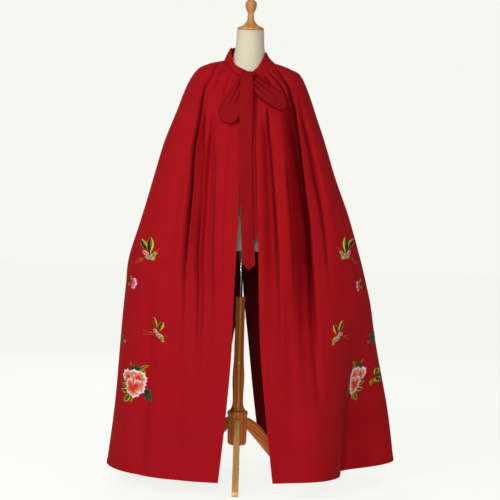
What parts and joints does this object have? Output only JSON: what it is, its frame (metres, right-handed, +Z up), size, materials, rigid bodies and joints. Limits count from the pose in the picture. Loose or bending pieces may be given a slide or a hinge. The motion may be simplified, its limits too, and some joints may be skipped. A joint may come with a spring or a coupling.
{
  "type": "opera cape on dress form stand",
  "caption": "Full-length opera cape with a band collar, gathered shoulders, tied bow and back vent, worn by a linen dress form on a turned wooden tripod stand.",
  "frame": {"origin": "on the floor, under the middle of the whole object's box", "axes": "+Z up, -Y to the front where the cape opens, +X to the wearer's left"},
  "size_m": [0.9886, 0.6302, 1.6548],
  "materials": {
    "red_cloth": "soft plain-woven cloth with a faint sheen",
    "linen": "tight matte linen cover",
    "brown_wood": "turned and varnished",
    "pale_wood": "sawn edge, thinly varnished",
    "steel": "bright tube"
  },
  "bodies": {
    "root": {"front_left": "red_cloth", "front_right": "red_cloth", "back_left": "red_cloth", "back_right": "red_cloth", "collar_band": "red_cloth", "bow_knot": "red_cloth", "bow_loop_right": "red_cloth", "bow_loop_left": "red_cloth", "tie_end_front": "red_cloth", "tie_end_back": "red_cloth", "dress_form": "linen", "neck_cap": "brown_wood", "pole": "steel", "column": "brown_wood", "clamp_screw": "steel", "hub": "brown_wood", "leg_front": "pale_wood", "leg_back_left": "brown_wood", "leg_back_right": "brown_wood"}
  },
  "joints": []
}
